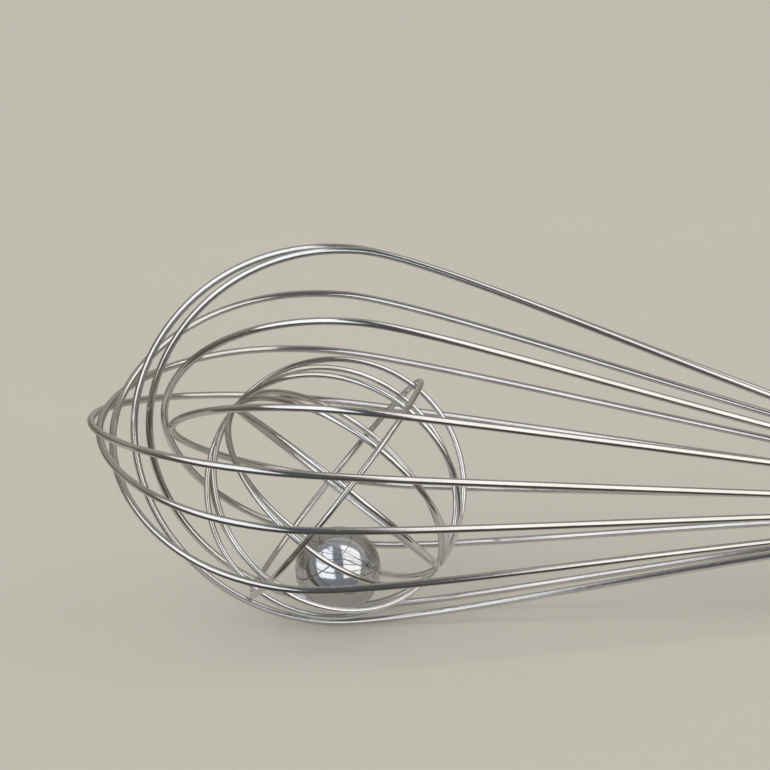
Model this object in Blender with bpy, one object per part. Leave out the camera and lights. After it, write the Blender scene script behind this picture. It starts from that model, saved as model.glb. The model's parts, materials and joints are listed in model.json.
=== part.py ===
"""Balloon whisk with a loose wire cage, and a steel ball inside the cage.

The whisk is modelled along its own axis: x runs from the tip of the longest wire to the handle, and the
angle around the axis is 0 on the near side (-y) and 90 degrees on top (+z). It is then laid on the floor,
on its two lowest wires and the handle, and centred over the world's origin.
"""
import math

import bmesh
import bpy
from mathutils import Matrix, Vector
from mathutils.geometry import interpolate_bezier
from mathutils.kdtree import KDTree

MM = 0.001
CLEARANCE = 0.3 * MM
WELD_CLEARANCE = 0.15 * MM

# Balloon wires: the radii are to the middle of the wire
BALLOON_WIRE = 1.5 * MM
BALLOON_RADIUS = 38.6 * MM
TIP_TO_BELLY = 42.4 * MM
TIP_TO_THROAT = 168.4 * MM
THROAT_RADIUS = 8.3 * MM
THROAT_ANGLE = 13.0
NOSE_FULLNESS = 0.475
NOSE_SHOULDER = 0.622
TAPER_SHOULDER = 0.132
TAPER_REACH = 0.413
BELLY_SETBACK = 0.89
LEG_RADIUS = 7.6 * MM
LEG_BEND = 6.0 * MM
LEG_LENGTH = 22.0 * MM

# Each loop, from the longest to the shortest: how far its tip stands back from the longest one's as a share
# of the balloon's radius, the angle of its plane in the handle's throat and at the belly, how far its legs
# are bent out of that plane, and how far its tip sags out of it as a share of the balloon's radius
LOOPS = (
    (0.0, -11.6, -11.6, 0.0, 0.0),
    (0.0466, -29.5, -28.5, 0.0, 0.0),
    (0.1140, -53.5, -51.3, 0.0, 0.0),
    (0.2150, -94.0, -101.2, 0.0, 0.0),
    (0.2953, -112.5, -110.5, 5.5, 0.0),
    (0.3782, -144.0, -145.0, 0.0, 0.0),
    (0.4290, -168.5, -169.4, -3.0, 0.056),
)
RESTING_LOOPS = (3, 4)

# Cage
CAGE_WIRE = 1.2 * MM
CAGE_RADIUS = 26.2 * MM
CAGE_STATION = 49.1 * MM
CAGE_POLE = (0.8276, 0.1425, -0.5429)
CAGE_FIRST_RIB = (0.1787, -0.9838, 0.0141)
RIB_ANGLES = (0.0, 31.5, 62.5, 90.5, 119.0, 154.5, 182.5, 213.5, 245.5, 269.5, 309.5, 337.5)
RIB_END_RADIUS = 2.4 * MM
RIB_END_THINNING = 0.5
RIB_THINNED_ARC = 6.0
POLE_WELD_HEIGHT = 1.5 * MM

# Ball: it rests on a rib, at this angle from the lowest point of the cage towards the near side
BALL_DIAMETER = 17.5 * MM
BALL_ANGLE = 15.0

# Handle
TUBE_WALL = 0.8 * MM
TUBE_LENGTH = 118.0 * MM
TUBE_SWELL = 2.6 * MM
TUBE_LIP = 0.35 * MM
CORE_RECESS = 1.2 * MM
END_PLUG_DEPTH = 10.0 * MM
END_PLUG_FLANGE = 3.0 * MM
END_PLUG_EDGE = 1.2 * MM
HANG_WIRE = 2.4 * MM
HANG_WIDTH = 11.0 * MM
HANG_REACH = 16.0 * MM
HANG_SEAT = 5.0 * MM

# Facets
LOOP_STEPS = 7
RIB_STEPS = 6
RING_STEPS = 7
ROUND_STEPS = 36
LAND_STEP = 10.0

LEG_ANGLES = sorted(loop[1] + side for loop in LOOPS for side in (0, 180))
TUBE_BORE = LEG_RADIUS + BALLOON_WIRE / 2 + CLEARANCE
TUBE_FRONT = TIP_TO_THROAT + LEG_BEND
TUBE_REAR = TUBE_FRONT + TUBE_LENGTH
TUBE_RADIUS = TUBE_BORE + TUBE_WALL
EQUATOR_RADIUS = CAGE_RADIUS + CAGE_WIRE + WELD_CLEARANCE
BALL_TRAVEL = CAGE_RADIUS - CAGE_WIRE / 2 - CLEARANCE - BALL_DIAMETER / 2

STEEL = (0.79, 0.79, 0.78)
BRUSHED = (0.66, 0.66, 0.65)
RESIN = (0.16, 0.16, 0.17)


def clear_scene():
    for item in list(bpy.data.objects):
        bpy.data.objects.remove(item, do_unlink=True)


def empty(name, parent=None):
    item = bpy.data.objects.new(name, None)
    item.empty_display_size = 0.01
    item.parent = parent
    bpy.context.collection.objects.link(item)
    return item


def finish(item, colour, roughness, metallic):
    material = bpy.data.materials.new(item.name + "_finish")
    material.use_nodes = True
    shader = material.node_tree.nodes["Principled BSDF"]
    shader.inputs["Base Color"].default_value = (*colour, 1.0)
    shader.inputs["Roughness"].default_value = roughness
    shader.inputs["Metallic"].default_value = metallic
    item.data.materials.append(material)


def mesh_object(name, shape, parent):
    mesh = bpy.data.meshes.new(name)
    bmesh.ops.recalc_face_normals(shape, faces=shape.faces)
    shape.to_mesh(mesh)
    shape.free()
    item = bpy.data.objects.new(name, mesh)
    item.parent = parent
    bpy.context.collection.objects.link(item)
    return item


def smooth(item, angle):
    """Smooth shading, with the edges that turn more than the angle kept sharp."""
    for face in item.data.polygons:
        face.use_smooth = True
    item.data.set_sharp_from_angle(angle=math.radians(angle))


def around(x, radius, angle):
    """A point at a station along the whisk, a radius from its axis and an angle around it."""
    turn = math.radians(angle)
    return Vector((x, -radius * math.cos(turn), radius * math.sin(turn)))


def wire_object(name, knots, diameter, parent, steps, sides=8, closed=False):
    """A round wire through Bezier knots, each given as place, handle before, handle after and thinning."""
    curve = bpy.data.curves.new(name, "CURVE")
    curve.dimensions = "3D"
    curve.twist_mode = "MINIMUM"
    curve.bevel_depth = diameter / 2
    curve.bevel_resolution = sides // 2 - 2
    curve.resolution_u = steps
    curve.use_fill_caps = not closed
    spline = curve.splines.new("BEZIER")
    spline.bezier_points.add(len(knots) - 1)
    spline.use_cyclic_u = closed
    for point, (place, before, after, thinning) in zip(spline.bezier_points, knots):
        point.handle_left_type = "FREE"
        point.handle_right_type = "FREE"
        point.co = place
        point.handle_left = before
        point.handle_right = after
        point.radius = thinning
    item = bpy.data.objects.new(name, curve)
    item.parent = parent
    bpy.context.collection.objects.link(item)
    return item


def leg_knots(setback, mouth_angle, belly_angle):
    """The knots of one leg, from its clamped end in the handle to its belly."""
    belly = TIP_TO_BELLY + BELLY_SETBACK * setback
    taper = TIP_TO_THROAT - belly
    reach = TAPER_REACH * taper
    slope = math.radians(THROAT_ANGLE)
    clamped = around(TUBE_FRONT + LEG_LENGTH, LEG_RADIUS, mouth_angle)
    straight = around(TUBE_FRONT, LEG_RADIUS, mouth_angle)
    throat = around(TIP_TO_THROAT, THROAT_RADIUS, mouth_angle)
    lean = (mouth_angle + belly_angle) / 2
    pull = around(TIP_TO_THROAT - reach * math.cos(slope), THROAT_RADIUS + reach * math.sin(slope), lean)
    back = (throat - pull).normalized() * LEG_BEND / 3
    along = Vector((LEG_BEND / 3, 0, 0))
    nose_handle = belly - NOSE_SHOULDER * (belly - setback)
    return [
        (clamped, clamped + along, clamped - along, 1.0),
        (straight, straight + along, straight - along, 1.0),
        (throat, throat + back, pull, 1.0),
        (
            around(belly, BALLOON_RADIUS, belly_angle),
            around(belly + TAPER_SHOULDER * taper, BALLOON_RADIUS, belly_angle),
            around(nose_handle, BALLOON_RADIUS, belly_angle),
            1.0,
        ),
    ]


def loop_knots(index):
    """The knots of a whole balloon loop: down one leg, round the tip and back along the other."""
    share, mouth, plane, spread, sag = LOOPS[index]
    setback = share * BALLOON_RADIUS
    first = leg_knots(setback, mouth, plane - spread)
    second = leg_knots(setback, mouth + 180, plane + 180 + spread)
    nose = NOSE_FULLNESS * BALLOON_RADIUS
    middle = around(setback, sag * BALLOON_RADIUS, plane + 90)
    pull = around(0, nose, plane)
    tip = (middle, middle + pull, middle - pull, 1.0)
    back = [(place, after, before, thinning) for place, before, after, thinning in reversed(second)]
    return first + [tip] + back


def sampled(knots, steps):
    """Points along a wire's middle line."""
    points = []
    for start, end in zip(knots, knots[1:]):
        points.extend(interpolate_bezier(start[0], start[2], end[1], end[0], steps))
    return points


def build_balloon(whisk):
    wires = []
    for index in range(len(LOOPS)):
        name = "balloon_wire_%d" % (index + 1)
        wire = wire_object(name, loop_knots(index), BALLOON_WIRE, whisk, LOOP_STEPS)
        finish(wire, STEEL, 0.16, 1.0)
        wires.append(wire)
    return wires


def lathe(name, outline, parent, steps=ROUND_STEPS):
    """A solid of revolution about the parent's x axis from a closed outline of station and radius."""
    shape = bmesh.new()
    ring = [shape.verts.new((x, 0, radius)) for x, radius in outline]
    edges = [shape.edges.new((ring[i], ring[(i + 1) % len(ring)])) for i in range(len(ring))]
    bmesh.ops.spin(
        shape,
        geom=ring + edges,
        cent=(0, 0, 0),
        axis=(1, 0, 0),
        angle=2 * math.pi,
        steps=steps,
        use_merge=True,
    )
    bmesh.ops.remove_doubles(shape, verts=shape.verts, dist=0.00001)
    bmesh.ops.dissolve_degenerate(shape, dist=0.000001, edges=shape.edges)
    return mesh_object(name, shape, parent)


def tube_radius(x):
    """Outer radius of the handle: straight over the clamped legs, then a long swell towards the rear."""
    swell_start = TUBE_FRONT + LEG_LENGTH
    if x <= swell_start:
        return TUBE_RADIUS
    share = (x - swell_start) / (TUBE_REAR - swell_start)
    return TUBE_RADIUS + TUBE_SWELL * math.sin(math.pi * share ** 0.8) ** 1.5


def build_tube(whisk):
    swell_start = TUBE_FRONT + LEG_LENGTH
    stations = [swell_start + (TUBE_REAR - swell_start) * i / 12 for i in range(13)]
    outer = [
        (TUBE_FRONT, TUBE_RADIUS - TUBE_LIP),
        (TUBE_FRONT + TUBE_LIP, TUBE_RADIUS),
    ]
    outer += [(x, tube_radius(x)) for x in stations]
    inner = [(x, tube_radius(x) - TUBE_WALL) for x in reversed(stations)]
    inner += [(TUBE_FRONT + TUBE_LIP, TUBE_BORE), (TUBE_FRONT, TUBE_BORE + TUBE_LIP / 2)]
    tube = lathe("handle_tube", outer + inner, whisk)
    smooth(tube, 40)
    finish(tube, BRUSHED, 0.30, 1.0)
    return tube


def build_core(whisk):
    """The plug that the legs are clamped against, with one flute for each leg."""
    radius = TUBE_BORE - CLEARANCE
    flute = BALLOON_WIRE / 2 + CLEARANCE
    opening = math.degrees(math.asin(flute / radius))
    outline = []
    for angle, following in zip(LEG_ANGLES, LEG_ANGLES[1:] + [LEG_ANGLES[0] + 360]):
        centre = around(0, LEG_RADIUS, angle)
        outward = around(0, 1, angle)
        sideways = around(0, 1, angle + 90)
        for step in range(5):
            turn = math.pi * step / 4
            outline.append(centre - flute * (sideways * math.cos(turn) + outward * math.sin(turn)))
        land = following - angle - 2 * opening
        steps = max(1, round(land / LAND_STEP))
        for step in range(steps + 1):
            outline.append(around(0, radius, angle + opening + land * step / steps))
    shape = bmesh.new()
    front = TUBE_FRONT + CORE_RECESS
    face = shape.faces.new([shape.verts.new(point + Vector((front, 0, 0))) for point in outline])
    grown = bmesh.ops.extrude_face_region(shape, geom=[face])
    moved = [item for item in grown["geom"] if isinstance(item, bmesh.types.BMVert)]
    bmesh.ops.translate(shape, verts=moved, vec=(LEG_LENGTH - CORE_RECESS, 0, 0))
    bmesh.ops.triangulate(shape, faces=[item for item in shape.faces if len(item.verts) > 4])
    core = mesh_object("core_plug", shape, whisk)
    smooth(core, 50)
    finish(core, RESIN, 0.55, 0.0)
    return core


def build_end_plug(whisk):
    """The plug that closes the rear of the tube, with a seat for each leg of the hanging loop."""
    rear_radius = tube_radius(TUBE_REAR)
    spigot = rear_radius - TUBE_WALL - CLEARANCE
    flange = TUBE_REAR + CLEARANCE
    back = flange + END_PLUG_FLANGE
    corner = [math.radians(30 * step) for step in range(4)]
    rounded = [
        (
            back - END_PLUG_EDGE * (1 - math.sin(turn)),
            rear_radius - END_PLUG_EDGE * (1 - math.cos(turn)),
        )
        for turn in corner
    ]
    outline = [
        (TUBE_REAR - END_PLUG_DEPTH, 0),
        (TUBE_REAR - END_PLUG_DEPTH, spigot - END_PLUG_EDGE / 2),
        (TUBE_REAR - END_PLUG_DEPTH + END_PLUG_EDGE / 2, spigot),
        (flange, spigot),
        (flange, rear_radius),
    ]
    outline += rounded + [(back, 0)]
    plug = lathe("end_plug", outline, whisk)
    for side in (-1, 1):
        bpy.ops.mesh.primitive_cylinder_add(
            vertices=16,
            radius=HANG_WIRE / 2 + CLEARANCE,
            depth=2 * (HANG_SEAT + CLEARANCE),
        )
        seat = bpy.context.object
        seat.name = "hang_seat_cutter"
        seat.parent = whisk
        seat.location = (back, side * HANG_WIDTH / 2, 0)
        seat.rotation_euler = (0, math.pi / 2, 0)
        seat.hide_render = True
        seat.display_type = "WIRE"
        cut = plug.modifiers.new("hang_seat", "BOOLEAN")
        cut.operation = "DIFFERENCE"
        cut.solver = "EXACT"
        cut.object = seat
    smooth(plug, 40)
    finish(plug, BRUSHED, 0.28, 1.0)
    return plug


def build_hang_loop(whisk):
    """The bent wire that the whisk hangs by, with both ends seated in the end plug."""
    back = TUBE_REAR + CLEARANCE + END_PLUG_FLANGE
    radius = HANG_WIDTH / 2
    bow = back + HANG_REACH - HANG_WIRE / 2 - radius
    pull = radius * 4 / 3 * math.tan(math.pi / 8)
    across = Vector((0, radius, 0))
    sideways = Vector((0, pull, 0))
    ahead = Vector((pull, 0, 0))
    seated = Vector((back - HANG_SEAT, 0, 0))
    start = Vector((bow, 0, 0))
    crown = Vector((bow + radius, 0, 0))
    knots = [
        (seated - across, seated - across - ahead, seated - across + ahead, 1.0),
        (start - across, start - across - ahead, start - across + ahead, 1.0),
        (crown, crown - sideways, crown + sideways, 1.0),
        (start + across, start + across + ahead, start + across - ahead, 1.0),
        (seated + across, seated + across + ahead, seated + across - ahead, 1.0),
    ]
    loop = wire_object("hanging_loop", knots, HANG_WIRE, whisk, LOOP_STEPS)
    finish(loop, STEEL, 0.2, 1.0)
    return loop


def arc_knots(centre, first, second, radius, stops, thinnings, closed=False):
    """Bezier knots on a circle in the plane of two unit vectors, at the stated angles."""
    knots = []
    for index, stop in enumerate(stops):
        turn = math.radians(stop)
        place = centre + radius * (first * math.cos(turn) + second * math.sin(turn))
        ahead = second * math.cos(turn) - first * math.sin(turn)
        previous = stops[index - 1] - (360 if closed and index == 0 else 0)
        following = stops[(index + 1) % len(stops)]
        following += 360 if closed and index == len(stops) - 1 else 0
        before = radius * 4 / 3 * math.tan(math.radians(abs(stop - previous)) / 4)
        after = radius * 4 / 3 * math.tan(math.radians(abs(following - stop)) / 4)
        if not closed and index == 0:
            before = after
        if not closed and index == len(stops) - 1:
            after = before
        knots.append((place, place - ahead * before, place + ahead * after, thinnings[index]))
    return knots


def cage_axes():
    """Unit vectors of the cage: along its poles, out to its first rib, and across both."""
    pole = Vector(CAGE_POLE).normalized()
    first = Vector(CAGE_FIRST_RIB)
    first = (first - pole * first.dot(pole)).normalized()
    return pole, first, pole.cross(first)


def build_cage(pivot):
    """Half ribs that run from pole to pole, their two welds and the ring around their middle."""
    pole, first, across = cage_axes()
    middle = Vector((0, 0, 0))
    start = math.degrees(math.asin(RIB_END_RADIUS / CAGE_RADIUS))
    stops = [start, start + RIB_THINNED_ARC, 90, 180 - start - RIB_THINNED_ARC, 180 - start]
    thinnings = [RIB_END_THINNING, 1.0, 1.0, 1.0, RIB_END_THINNING]
    for rib, angle in enumerate(RIB_ANGLES):
        turn = math.radians(angle)
        outward = first * math.cos(turn) + across * math.sin(turn)
        knots = arc_knots(middle, pole, outward, CAGE_RADIUS, stops, thinnings)
        wire = wire_object("cage_rib_%d" % (rib + 1), knots, CAGE_WIRE, pivot, RIB_STEPS, sides=6)
        finish(wire, STEEL, 0.15, 1.0)
    ring_stops = [0, 60, 120, 180, 240, 300]
    knots = arc_knots(middle, first, across, EQUATOR_RADIUS, ring_stops, [1.0] * 6, closed=True)
    ring = wire_object("cage_equator_ring", knots, CAGE_WIRE, pivot, RING_STEPS, closed=True)
    finish(ring, STEEL, 0.15, 1.0)
    for name, end in (("cage_pole_weld_1", -1), ("cage_pole_weld_2", 1)):
        build_pole_weld(name, pivot, pole * end)


def build_pole_weld(name, pivot, outward):
    """The flat button of metal in which the rib ends are fused."""
    radius = RIB_END_RADIUS - CLEARANCE
    half = POLE_WELD_HEIGHT / 2
    place = empty(name + "_place", pivot)
    place.rotation_mode = "QUATERNION"
    place.rotation_quaternion = Vector((1, 0, 0)).rotation_difference(outward)
    place.location = outward * CAGE_RADIUS
    turns = [math.radians(-90 + 30 * step) for step in range(7)]
    side = [(half * math.sin(turn), radius - half * (1 - math.cos(turn))) for turn in turns]
    weld = lathe(name, [(-half, 0)] + side + [(half, 0)], place, steps=20)
    smooth(weld, 70)
    finish(weld, BRUSHED, 0.3, 1.0)


def build_ball(pivot):
    turn = math.radians(BALL_ANGLE)
    place = BALL_TRAVEL * Vector((0, -math.sin(turn), -math.cos(turn)))
    shape = bmesh.new()
    bmesh.ops.create_uvsphere(shape, u_segments=24, v_segments=14, radius=BALL_DIAMETER / 2)
    bmesh.ops.translate(shape, verts=shape.verts, vec=place)
    ball = mesh_object("ball", shape, pivot)
    smooth(ball, 60)
    finish(ball, STEEL, 0.06, 1.0)
    return ball


def corners(items):
    """The corner points of objects, in the whisk's own frame."""
    bpy.context.view_layer.update()
    graph = bpy.context.evaluated_depsgraph_get()
    points = []
    for item in items:
        solid = item.evaluated_get(graph)
        mesh = solid.to_mesh()
        points.extend(solid.matrix_world @ corner.co for corner in mesh.vertices)
        solid.to_mesh_clear()
    return points


def lowest(points, turn):
    return min((turn @ point).z for point in points)


def resting_turn(left, right, rear):
    """The turn that lays the whisk on its two lowest wires and its handle."""
    roll = -math.radians(90 + sum(LOOPS[index][2] for index in RESTING_LOOPS) / len(RESTING_LOOPS))
    pitch = 0.0
    for attempt in range(12):
        turn = Matrix.Rotation(pitch, 3, "Y") @ Matrix.Rotation(roll, 3, "X")
        tilt = lowest(left, turn) - lowest(right, turn)
        drop = lowest(rear, turn) - min(lowest(left, turn), lowest(right, turn))
        roll += tilt / BALLOON_RADIUS
        pitch += drop / (TUBE_REAR - TIP_TO_BELLY)
    return Matrix.Rotation(pitch, 3, "Y") @ Matrix.Rotation(roll, 3, "X")


def seat_cage(down):
    """How far the cage's middle lies below the whisk's axis when it rests on the balloon wires."""
    lines = [sampled(loop_knots(index), 60) for index in range(len(LOOPS))]
    points = [point for line in lines for point in line]
    tree = KDTree(len(points))
    for index, point in enumerate(points):
        tree.insert(point, index)
    tree.balance()
    pole, first, across = cage_axes()
    turns = [math.radians(5 * step) for step in range(72)]
    ring = [EQUATOR_RADIUS * (first * math.cos(turn) + across * math.sin(turn)) for turn in turns]
    rib_room = CAGE_RADIUS + (CAGE_WIRE + BALLOON_WIRE) / 2 + CLEARANCE
    ring_room = (CAGE_WIRE + BALLOON_WIRE) / 2 + CLEARANCE
    drop = 0.0
    step = BALLOON_RADIUS / 4
    while step > 0.01 * MM:
        middle = Vector((CAGE_STATION, 0, 0)) + down * (drop + step)
        clear = tree.find(middle)[2] >= rib_room
        clear = clear and min(tree.find(middle + point)[2] for point in ring) >= ring_room
        if clear:
            drop += step
        else:
            step /= 2
    return Vector((CAGE_STATION, 0, 0)) + down * drop


def build():
    clear_scene()
    whisk = empty("whisk_axis")
    wires = build_balloon(whisk)
    handle = [build_tube(whisk), build_core(whisk), build_end_plug(whisk), build_hang_loop(whisk)]

    left, right = (wires[index] for index in RESTING_LOOPS)
    turn = resting_turn(corners([left]), corners([right]), corners(handle))
    down = turn.inverted() @ Vector((0, 0, -1))

    cage_pivot = empty("cage_pivot", whisk)
    cage_pivot.location = seat_cage(down)
    build_cage(cage_pivot)
    ball_pivot = empty("ball_pivot", cage_pivot)
    ball_pivot.rotation_euler = turn.inverted().to_euler()
    build_ball(ball_pivot)

    points = [turn @ point for point in corners(wires + handle)]
    low = [min(point[axis] for point in points) for axis in range(3)]
    high = [max(point[axis] for point in points) for axis in range(3)]
    place = Vector((-(low[0] + high[0]) / 2, -(low[1] + high[1]) / 2, -low[2]))
    whisk.matrix_world = Matrix.Translation(place) @ turn.to_4x4()
    bpy.context.view_layer.update()

    middle = cage_pivot.matrix_world.translation
    pole = turn @ cage_axes()[0]
    rear = whisk.matrix_world @ Vector((TUBE_REAR + CLEARANCE + END_PLUG_FLANGE, 0, 0))
    print("whisk", [round(high[axis] - low[axis], 5) for axis in range(3)])
    print("whisk axis", [round(value, 5) for value in turn @ Vector((1, 0, 0))])
    print("cage middle", [round(value, 5) for value in middle])
    print("cage pole", [round(value, 5) for value in pole])
    print("handle end", [round(value, 5) for value in rear])


build()
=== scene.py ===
# %% [markdown]
# # A balloon whisk with a loose wire cage
#
# The whisk is seven steel loops clamped in a tubular handle. A cage of thinner wire tumbles inside the
# loops, and a polished ball rolls inside the cage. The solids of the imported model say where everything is.
# This lesson dresses them: the faceted wires become round ones, and every surface gets the finish of the
# real metal.
#
# They stay where they are, so the first thing to do is to deselect them: an operator acts on all that is
# selected.

# %% Load the solids
import json
import math

import bpy
from mathutils import Matrix, Vector


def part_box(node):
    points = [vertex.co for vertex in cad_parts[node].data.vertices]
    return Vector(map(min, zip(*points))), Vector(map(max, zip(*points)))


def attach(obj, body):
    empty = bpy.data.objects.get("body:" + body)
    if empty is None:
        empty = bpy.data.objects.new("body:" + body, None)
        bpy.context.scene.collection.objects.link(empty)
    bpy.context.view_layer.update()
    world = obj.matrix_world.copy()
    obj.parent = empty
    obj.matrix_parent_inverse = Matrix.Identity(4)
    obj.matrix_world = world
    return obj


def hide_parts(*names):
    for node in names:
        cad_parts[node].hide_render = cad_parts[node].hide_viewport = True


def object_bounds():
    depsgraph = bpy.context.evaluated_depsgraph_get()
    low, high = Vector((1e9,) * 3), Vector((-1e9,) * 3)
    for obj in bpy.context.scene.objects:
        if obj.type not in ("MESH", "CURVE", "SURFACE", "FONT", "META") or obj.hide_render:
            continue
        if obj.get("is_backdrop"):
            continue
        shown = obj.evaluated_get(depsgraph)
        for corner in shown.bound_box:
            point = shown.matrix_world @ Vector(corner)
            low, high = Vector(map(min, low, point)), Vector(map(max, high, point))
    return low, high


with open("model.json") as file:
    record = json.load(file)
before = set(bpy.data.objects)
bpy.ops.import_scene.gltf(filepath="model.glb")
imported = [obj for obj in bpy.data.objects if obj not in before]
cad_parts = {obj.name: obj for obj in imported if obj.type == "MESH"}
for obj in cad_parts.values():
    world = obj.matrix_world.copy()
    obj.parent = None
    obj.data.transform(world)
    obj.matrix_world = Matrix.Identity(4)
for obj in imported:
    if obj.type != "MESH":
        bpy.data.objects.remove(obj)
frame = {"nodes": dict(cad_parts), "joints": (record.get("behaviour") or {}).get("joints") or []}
bpy.ops.object.select_all(action="DESELECT")
SOLIDS_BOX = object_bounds()
MM = 0.001


def in_mm(lengths):
    """Lengths in millimetres, short enough to print."""
    return [round(length / MM, 2) for length in lengths]


print("solids", len(frame["nodes"]), "box in mm", in_mm(SOLIDS_BOX[1] - SOLIDS_BOX[0]))

# %% [markdown]
# ## Where the whisk lies
#
# The whisk is easiest to think of along its own axis: x runs from the tip of the longest loop to the
# handle, and an angle around that axis is 0 on the near side and 90 degrees on top. It lies on two loops
# and the handle, so it is pitched and rolled a little. One matrix holds that rest, and the points of the
# loops and the handle go through it. A finished piece then has its place in its mesh, while its object
# stays at the origin.

# %% Rest of the whisk on the floor
REST_PLACE = Vector((-0.154351190, -0.000010738, 0.044959757))
REST_PITCH = math.radians(6.944171)
REST_ROLL = math.radians(-15.684095)
REST = (
    Matrix.Translation(REST_PLACE)
    @ Matrix.Rotation(REST_PITCH, 4, "Y")
    @ Matrix.Rotation(REST_ROLL, 4, "X")
)


def around(x, radius, angle):
    """A point at a station along the whisk, a radius from its axis and an angle around it."""
    turn = math.radians(angle)
    return Vector((x, -radius * math.cos(turn), radius * math.sin(turn)))


print("whisk axis", [round(v, 4) for v in REST.to_3x3() @ Vector((1, 0, 0))])

# %% [markdown]
# ## Camera
#
# The picture was taken from low in front of the whisk, with a long lens. A pinhole fitted to the crossings
# of the wires gives the place, the turn and the focal length. The frame is square, and the handle runs out
# of it on the right.

# %% Camera
CAMERA_PLACE = (-0.034928, -0.529437, 0.180167)
CAMERA_TURN = (76.199, 3.011, 5.679)
CAMERA_LENS = 127.636
CAMERA_SENSOR = 36.0
CAMERA_NEAREST = 10.0 * MM
bpy.ops.object.camera_add(location=CAMERA_PLACE, rotation=[math.radians(v) for v in CAMERA_TURN])
camera = bpy.context.object
camera.name = "low_front_camera"
camera.data.lens = CAMERA_LENS
camera.data.sensor_width = CAMERA_SENSOR
camera.data.clip_start = CAMERA_NEAREST
bpy.context.scene.camera = camera
print("camera at", in_mm(camera.location), "lens", camera.data.lens)

# %% [markdown]
# ## Shader maths
#
# A finish is a small sum: a base value plus some scratches, minus some wear. Drawing that as nodes takes
# many lines. This class wraps a socket, so that `0.1 + 0.2 * scratches` adds the Math nodes by itself.
# `add` makes any other kind of node: first its settings, then the values or links of its sockets. A Mix
# node has sockets of the same name for numbers, vectors and colours, so its colours go by number.

# %% A socket that can be reckoned with
MIX_LOW, MIX_HIGH, MIX_RESULT = 6, 7, 2


class Socket:
    """An output socket of one finish."""

    def __init__(self, tree, socket=None):
        self.tree = tree
        self.socket = socket

    def add(self, kind, settings, values, output=0):
        """A new node of any kind, as one of its output sockets."""
        node = self.tree.nodes.new(kind)
        for name, setting in settings.items():
            setattr(node, name, setting)
        for name, value in values.items():
            if isinstance(value, Socket):
                self.tree.links.new(value.socket, node.inputs[name])
            else:
                node.inputs[name].default_value = value
        return Socket(self.tree, node.outputs[output])

    def reckon(self, operation, *values):
        return self.add("ShaderNodeMath", {"operation": operation}, dict(enumerate(values)))

    def __add__(self, other):
        return self.reckon("ADD", self, other)

    def __radd__(self, other):
        return self.reckon("ADD", other, self)

    def __sub__(self, other):
        return self.reckon("SUBTRACT", self, other)

    def __rsub__(self, other):
        return self.reckon("SUBTRACT", other, self)

    def __mul__(self, other):
        return self.reckon("MULTIPLY", self, other)

    def __rmul__(self, other):
        return self.reckon("MULTIPLY", other, self)

    def __abs__(self):
        return self.reckon("ABSOLUTE", self)

    def place(self):
        """Where a point of the piece is."""
        return self.add("ShaderNodeTexCoord", {}, {}, "Object")

    def part(self, axis):
        """One number of this vector: its X, Y or Z."""
        return self.add("ShaderNodeSeparateXYZ", {}, {"Vector": self}, axis)

    def grain(self, stretch, detail=3.0, shift=(0.0, 0.0, 0.0)):
        """Noise on this vector, in grains per metre: one number for even noise, or three to stretch it."""
        scale = stretch if isinstance(stretch, tuple) else (stretch, stretch, stretch)
        spread = self.add("ShaderNodeMapping", {}, {"Vector": self, "Location": shift, "Scale": scale})
        return self.add("ShaderNodeTexNoise", {}, {"Vector": spread, "Scale": 1.0, "Detail": detail}, "Fac")

    def between(self, low, high):
        """0 below the low value, 1 above the high one, and a smooth step from one to the other."""
        settings = {"interpolation_type": "SMOOTHSTEP"}
        return self.add("ShaderNodeMapRange", settings, {"Value": self, "From Min": low, "From Max": high})

    def blend(self, low, high):
        """One colour where this value is 0 and another where it is 1."""
        values = {"Factor": self, MIX_LOW: low, MIX_HIGH: high}
        values = {name: (*v, 1.0) if isinstance(v, tuple) else v for name, v in values.items()}
        return self.add("ShaderNodeMix", {"data_type": "RGBA"}, values, MIX_RESULT)

    def bump(self, strength, height):
        """A relief of this value, up to a height."""
        return self.add("ShaderNodeBump", {}, {"Height": self, "Strength": strength, "Distance": height})


print("sockets can be added, subtracted and multiplied")


# %% Finish of a surface
def new_finish(name, metallic=0.0):
    """A new material, its tree as a Socket to add nodes with, and its shader."""
    material = bpy.data.materials.new(name)
    material.use_nodes = True
    shader = material.node_tree.nodes["Principled BSDF"]
    shader.inputs["Metallic"].default_value = metallic
    return material, Socket(material.node_tree), shader


def feed(shader, **sockets):
    """Links sockets to the shader's inputs. base_color stands for Base Color, and so on."""
    for name, value in sockets.items():
        value.tree.links.new(value.socket, shader.inputs[name.replace("_", " ").title()])


print("finishes can be made")

# %% [markdown]
# ## Floor and light
#
# Polished steel has hardly any colour of its own: it shows what stands around it. The wires need a white
# band from tall lights behind the camera, a slate tone from the dim room beside them, and a dark lower edge.
# So the studio has two tall softboxes with a gap between them and a floor in two layers. The layer that is
# seen is left out of reflections. The metal mirrors the other one, which starts under the whisk and is
# painted darker to the rear as a painted shade, and the metal looks past its front edge into the dark.

# %% Floor
FLOOR_REACH = 1.6
FLOOR_CUTS = 8
FLOOR_LEVEL = -0.2 * MM
MIRRORED_LEVEL = -0.1 * MM
MIRRORED_FRONT = -24.0 * MM
# Distances to the rear over which the mirrored layer turns from pale to painted shade.
PALE_UNTIL, PAINTED_SHADE_FROM = 15.0 * MM, 100.0 * MM
FLOOR_ROUGHNESS = 0.85
FLOOR_CLOUDS = 9.0
FLOOR_PALE = (0.572, 0.550, 0.495)
FLOOR_DUSK = (0.545, 0.523, 0.468)
# Painted shade: the dark colour of the mirrored layer at its rear.
FLOOR_PAINTED_SHADE = (0.310, 0.283, 0.232)


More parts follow.
